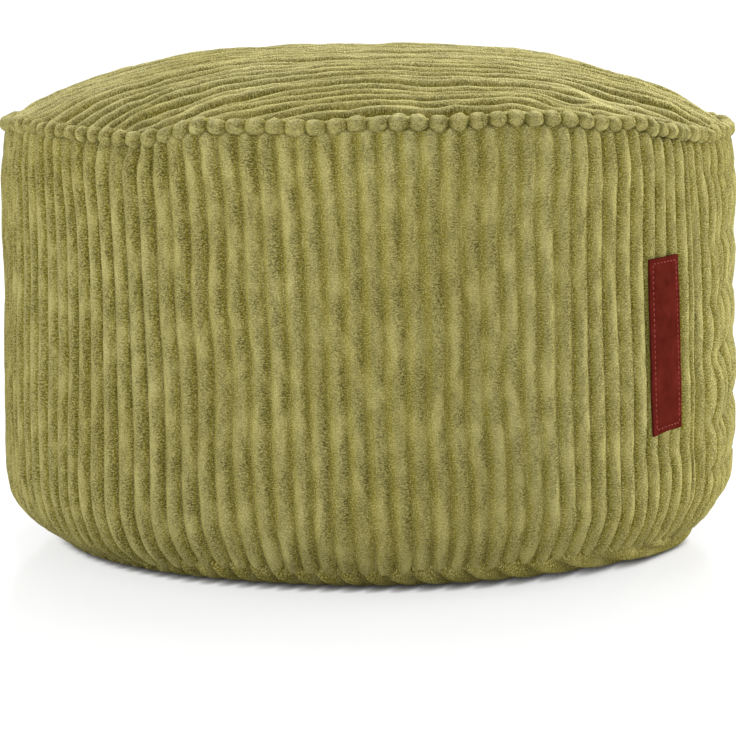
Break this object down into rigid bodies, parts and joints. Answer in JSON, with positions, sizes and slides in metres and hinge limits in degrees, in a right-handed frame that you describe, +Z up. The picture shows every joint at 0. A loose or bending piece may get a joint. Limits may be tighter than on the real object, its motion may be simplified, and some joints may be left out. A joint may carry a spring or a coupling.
{
  "type": "bean bag footstool",
  "caption": "Round filled footstool in wide-rib corduroy with a domed top, a rolled welt round the top seam and a bare leather label.",
  "frame": {"origin": "on the floor, under the middle of the stool", "axes": "+Z up; -Y is the front that the camera sees, and the label is sewn between -Y and +X"},
  "size_m": [0.45, 0.45, 0.3],
  "materials": {
    "corduroy": "olive green jumbo corduroy, soft cut pile on wide ribs",
    "label_leather": "dark red leather, smooth, stitched round its edge in red thread"
  },
  "bodies": {
    "root": {"side_band": "corduroy", "top_panel": "corduroy", "base_panel": "corduroy", "top_welt": "corduroy", "label": "label_leather"}
  },
  "joints": []
}
